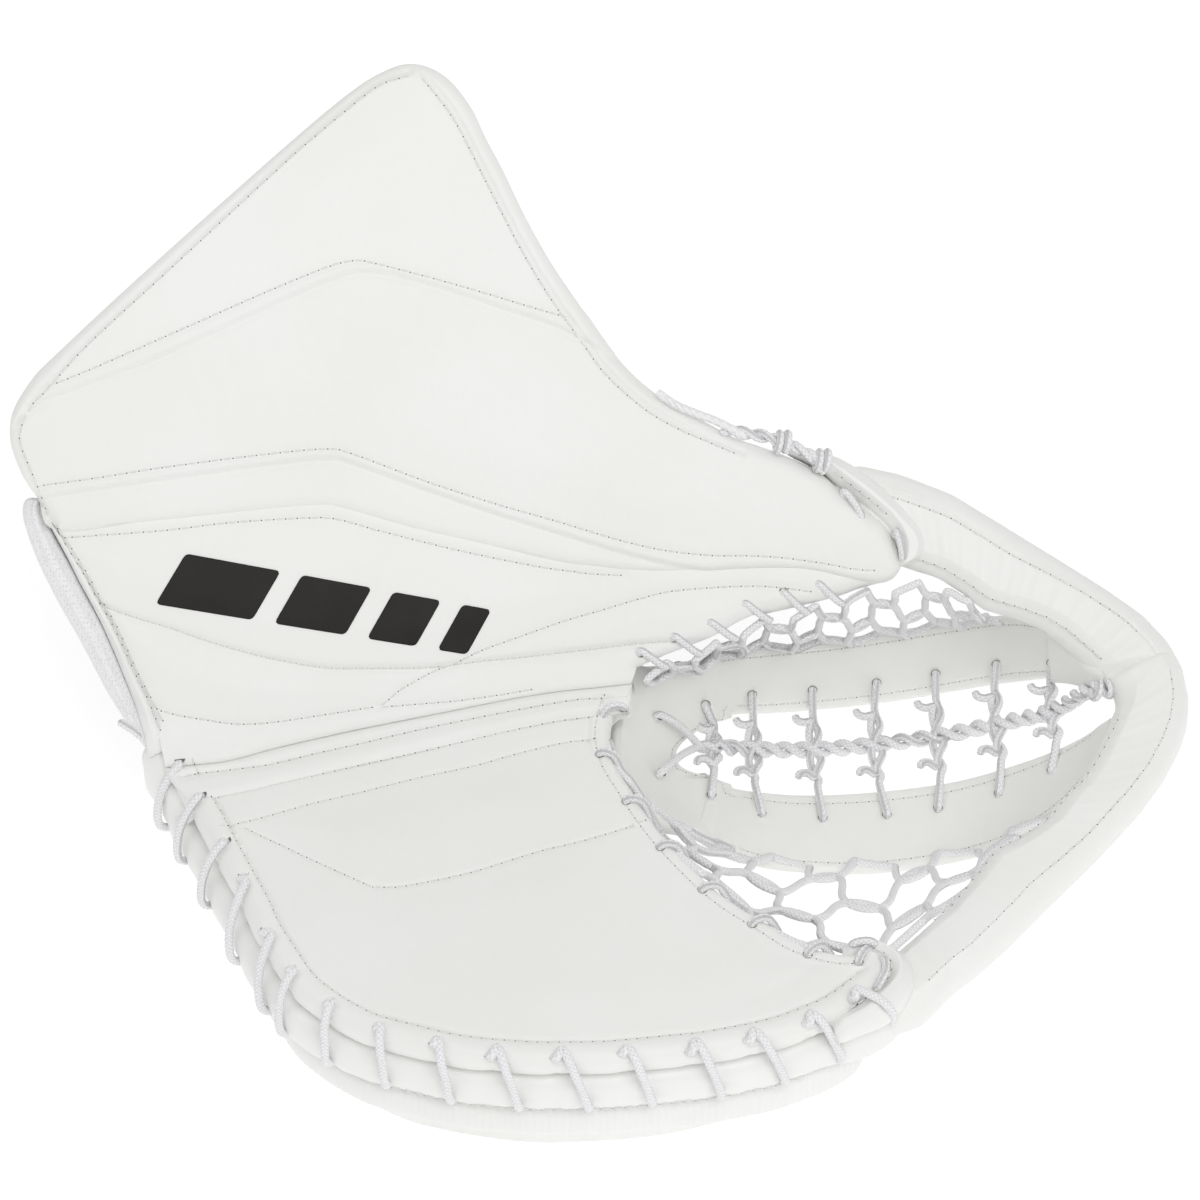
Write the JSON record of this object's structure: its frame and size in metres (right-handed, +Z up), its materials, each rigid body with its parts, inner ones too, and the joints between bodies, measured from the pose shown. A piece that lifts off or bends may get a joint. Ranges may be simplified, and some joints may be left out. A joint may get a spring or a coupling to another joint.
{
  "type": "goalie catch glove",
  "caption": "Left-hand ice hockey catch glove lying on its back: one-piece cuff and thumb board, padded palm, laced T pocket and perimeter band.",
  "frame": {"origin": "centre of the bounding box, on the plane the back pad rests on", "axes": "+X from the cuff's outer corner towards the pocket's T head, +Y from the finger edge towards the cuff's far edge, +Z up from the back pad to the palm"},
  "size_m": [0.4386, 0.3499, 0.2462],
  "materials": {
    "leather_white": "white coated leather, fine grain",
    "leather_binding": "soft rolled leather binding",
    "leather_pocket": "two-ply pocket leather, stitched edges",
    "lace": "braided waxed polyester lace",
    "mesh_fabric": "nylon mesh over foam",
    "lining_dark": "brushed knit lining",
    "foam": "closed-cell foam",
    "board": "polyethylene board",
    "webbing": "woven nylon webbing",
    "hook_and_loop": "hook and loop tape",
    "print_black": "matt black applique"
  },
  "bodies": {
    "palm_side": {"palm_upper_panel": "leather_white", "palm_finger_panel": "leather_white", "palm_board": "board", "palm_foam": "foam", "palm_lining": "lining_dark", "pocket_binding": "leather_binding", "palm_edge_roll": "leather_binding", "palm_lower_roll": "leather_binding", "back_cover": "leather_white", "back_foam": "foam", "back_board": "board", "back_lining": "lining_dark", "back_piping": "leather_binding", "finger_gusset": "lining_dark", "finger_stalls": "lining_dark", "band_finger_skin": "leather_white", "band_finger_core": "foam", "band_finger_back": "leather_white", "strap_anchor": "webbing", "strap_loop_patch": "hook_and_loop", "strap_tab": "webbing", "palm_edge_lace": "lace", "finger_net": "lace"},
    "pocket_t": {"t_strap_thumb": "leather_pocket", "t_strap_finger": "leather_pocket", "t_base": "leather_pocket", "t_base_yoke": "leather_pocket", "t_head": "leather_pocket", "t_center_lace": "lace", "break_strip": "leather_pocket"},
    "thumb_side": {"cuff_top_panel": "leather_white", "cuff_mid_panel": "leather_white", "cuff_chevron_strip": "leather_white", "cuff_board": "board", "cuff_foam": "foam", "cuff_lining": "lining_dark", "cuff_lens_panel": "leather_white", "thumb_web_panel": "leather_white", "cuff_lower_foam": "foam", "cuff_side_binding": "leather_binding", "cuff_mesh_lining": "mesh_fabric", "cuff_mark": "print_black", "thumb_stall": "mesh_fabric", "band_thumb_skin": "leather_white", "band_thumb_core": "foam", "band_thumb_back": "leather_white", "thumb_net": "lace", "thumb_tip_lace": "lace", "thumb_tip_guard": "leather_binding", "thumb_lace_tail": "lace", "heel_lace_tail": "lace"},
    "wrist_strap": {"wrist_strap": "webbing", "strap_hook_patch": "hook_and_loop", "strap_pull_tab": "leather_white"}
  },
  "joints": [
    {"name": "pocket_fold", "type": "hinge", "parent": "palm_side", "child": "pocket_t", "pos_m": [-0.1624, -0.02875, 0.08], "axis": [0.9965, 0.0676, 0.0494], "range_deg": [0, 30], "deforming": ["finger_net"]},
    {"name": "thumb_fold", "type": "hinge", "parent": "pocket_t", "child": "thumb_side", "pos_m": [-0.1624, -0.02875, 0.08], "axis": [0.9965, 0.0676, 0.0494], "range_deg": [0, 30], "deforming": ["thumb_net"]},
    {"name": "strap_swing", "type": "hinge", "parent": "palm_side", "child": "wrist_strap", "pos_m": [-0.01772, 0.01435, 0.034], "axis": [0, 0, -1], "range_deg": [0, 80]}
  ],
  "couplings": [
    {"joint": "thumb_fold", "follows": "pocket_fold", "ratio": 1}
  ]
}
